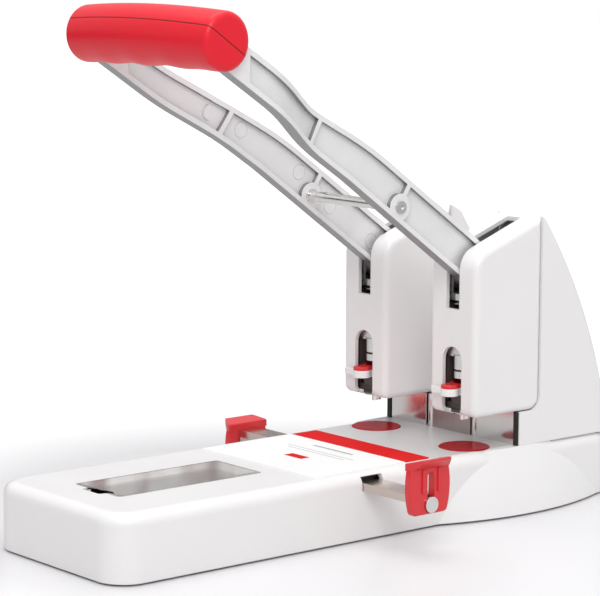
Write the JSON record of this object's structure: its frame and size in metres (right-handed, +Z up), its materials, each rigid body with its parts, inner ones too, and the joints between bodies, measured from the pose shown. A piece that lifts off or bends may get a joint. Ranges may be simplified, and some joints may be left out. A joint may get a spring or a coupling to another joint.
{
  "type": "lever hole punch",
  "caption": "Heavy desktop lever hole punch with punch towers over a long bed, a double-armed lever with a grip, sliding side stops, turning cutting discs and a lidded spares tray.",
  "frame": {"origin": "middle of the base's outline on the surface under the rubber feet", "axes": "+X to the right seen from the user, +Y from the user to the towers, +Z up"},
  "size_m": [0.23, 0.384, 0.3076],
  "materials": {
    "white_shell": "white high gloss moulded shell",
    "dark_plate": "black painted sheet",
    "foot_rubber": "black rubber",
    "zinc_screw": "zinc plated",
    "bed_steel": "ground steel plate",
    "guide_card": "printed plastic card, plain",
    "tray_black": "black moulded tray",
    "stainless": "brushed stainless sheet",
    "frame_steel": "dark phosphated steel",
    "polished_steel": "ground and polished steel",
    "spring_steel": "oiled spring wire",
    "bronze": "sintered bronze bush",
    "cast_grey": "light grey painted casting",
    "red_gloss": "red high gloss",
    "lock_white": "white moulding",
    "bar_steel": "plated flat bar"
  },
  "bodies": {
    "punch_body": {"base_housing": "white_shell", "bottom_plate": "dark_plate", "base_screws": "zinc_screw", "rubber_feet": "foot_rubber", "bed_plate": "bed_steel", "bed_card": "guide_card", "compartment_tray": "tray_black", "throat_wall": "dark_plate", "rear_housing_right": "white_shell", "rear_housing_left": "white_shell", "rear_bridge": "white_shell", "frame_bolts": "zinc_screw", "retaining_rings": "zinc_screw", "back_plates": "polished_steel", "throat_posts": "polished_steel", "throat_pads": "foot_rubber", "tower_cover_right": "white_shell", "tower_cover_left": "white_shell", "tower_frame_right": "frame_steel", "tower_frame_left": "frame_steel", "punch_guide_right": "frame_steel", "punch_guide_left": "frame_steel", "ram_guide_right": "polished_steel", "ram_guide_left": "polished_steel", "pivot_pin_right": "polished_steel", "pivot_pin_left": "polished_steel", "return_spring_right": "spring_steel", "return_spring_left": "spring_steel", "bar_guide_right": "tray_black", "bar_guide_left": "tray_black"},
    "lever": {"arm_right": "cast_grey", "arm_left": "cast_grey", "pivot_bushes": "bronze", "cross_rod": "polished_steel", "cross_screws": "zinc_screw", "grip_tube": "frame_steel", "grip_upper_shell": "red_gloss", "grip_lower_shell": "red_gloss"},
    "spares_lid": {"spares_cover": "stainless"},
    "plunger_right": {"ram_right": "polished_steel", "punch_right": "polished_steel", "drive_pin_right": "polished_steel"},
    "lock_right": {"lock_lever_right": "lock_white", "lock_cap_right": "red_gloss"},
    "disc_right": {"cutting_disc_right": "red_gloss"},
    "gauge_right": {"guide_bar_right": "bar_steel", "bar_pin_right": "polished_steel"},
    "stop_right": {"side_stop_right": "red_gloss"},
    "plunger_left": {"ram_left": "polished_steel", "punch_left": "polished_steel", "drive_pin_left": "polished_steel"},
    "lock_left": {"lock_lever_left": "lock_white", "lock_cap_left": "red_gloss"},
    "disc_left": {"cutting_disc_left": "red_gloss"},
    "gauge_left": {"guide_bar_left": "bar_steel", "bar_pin_left": "polished_steel"},
    "stop_left": {"side_stop_left": "red_gloss"}
  },
  "joints": [
    {"name": "lever_press", "type": "hinge", "parent": "punch_body", "child": "lever", "pos_m": [0, 0.1139, 0.1315], "axis": [1, 0, 0], "range_deg": [0, 25], "stiffness_Nm_per_rad": 1, "springref_deg": -57.3},
    {"name": "punch_stroke_right", "type": "slide", "parent": "punch_body", "child": "plunger_right", "axis": [0, 0, 1], "range_m": [-0.01602, 0], "deforming": ["return_spring_right"]},
    {"name": "punch_stroke_left", "type": "slide", "parent": "punch_body", "child": "plunger_left", "axis": [0, 0, 1], "range_m": [-0.01602, 0], "deforming": ["return_spring_left"]},
    {"name": "lock_turn_right", "type": "hinge", "parent": "punch_body", "child": "lock_right", "pos_m": [0.04, 0.0804, 0.074], "axis": [0, 0, 1], "range_deg": [0, 12]},
    {"name": "disc_turn_right", "type": "hinge", "parent": "punch_body", "child": "disc_right", "pos_m": [0.04, 0.0804, 0.0385], "axis": [0, 0, 1], "continuous": true},
    {"name": "gauge_slide_right", "type": "slide", "parent": "punch_body", "child": "gauge_right", "axis": [1, 0, 0], "range_m": [-0.031, 0.0435]},
    {"name": "stop_height_right", "type": "slide", "parent": "gauge_right", "child": "stop_right", "axis": [0, 0, 1], "range_m": [-0.016, 0]},
    {"name": "lock_turn_left", "type": "hinge", "parent": "punch_body", "child": "lock_left", "pos_m": [-0.04, 0.0804, 0.074], "axis": [0, 0, 1], "range_deg": [0, 12]},
    {"name": "disc_turn_left", "type": "hinge", "parent": "punch_body", "child": "disc_left", "pos_m": [-0.04, 0.0804, 0.0385], "axis": [0, 0, 1], "continuous": true},
    {"name": "gauge_slide_left", "type": "slide", "parent": "punch_body", "child": "gauge_left", "axis": [-1, 0, 0], "range_m": [-0.031, 0.0435]},
    {"name": "stop_height_left", "type": "slide", "parent": "gauge_left", "child": "stop_left", "axis": [0, 0, 1], "range_m": [0, 0.016]},
    {"name": "lid_lift", "type": "slide", "parent": "punch_body", "child": "spares_lid", "axis": [0, 0, 1], "range_m": [0, 0.03]}
  ],
  "couplings": [
    {"joint": "punch_stroke_right", "follows": "lever_press", "m_per_rad": -0.036718},
    {"joint": "punch_stroke_left", "follows": "lever_press", "m_per_rad": -0.036718}
  ]
}
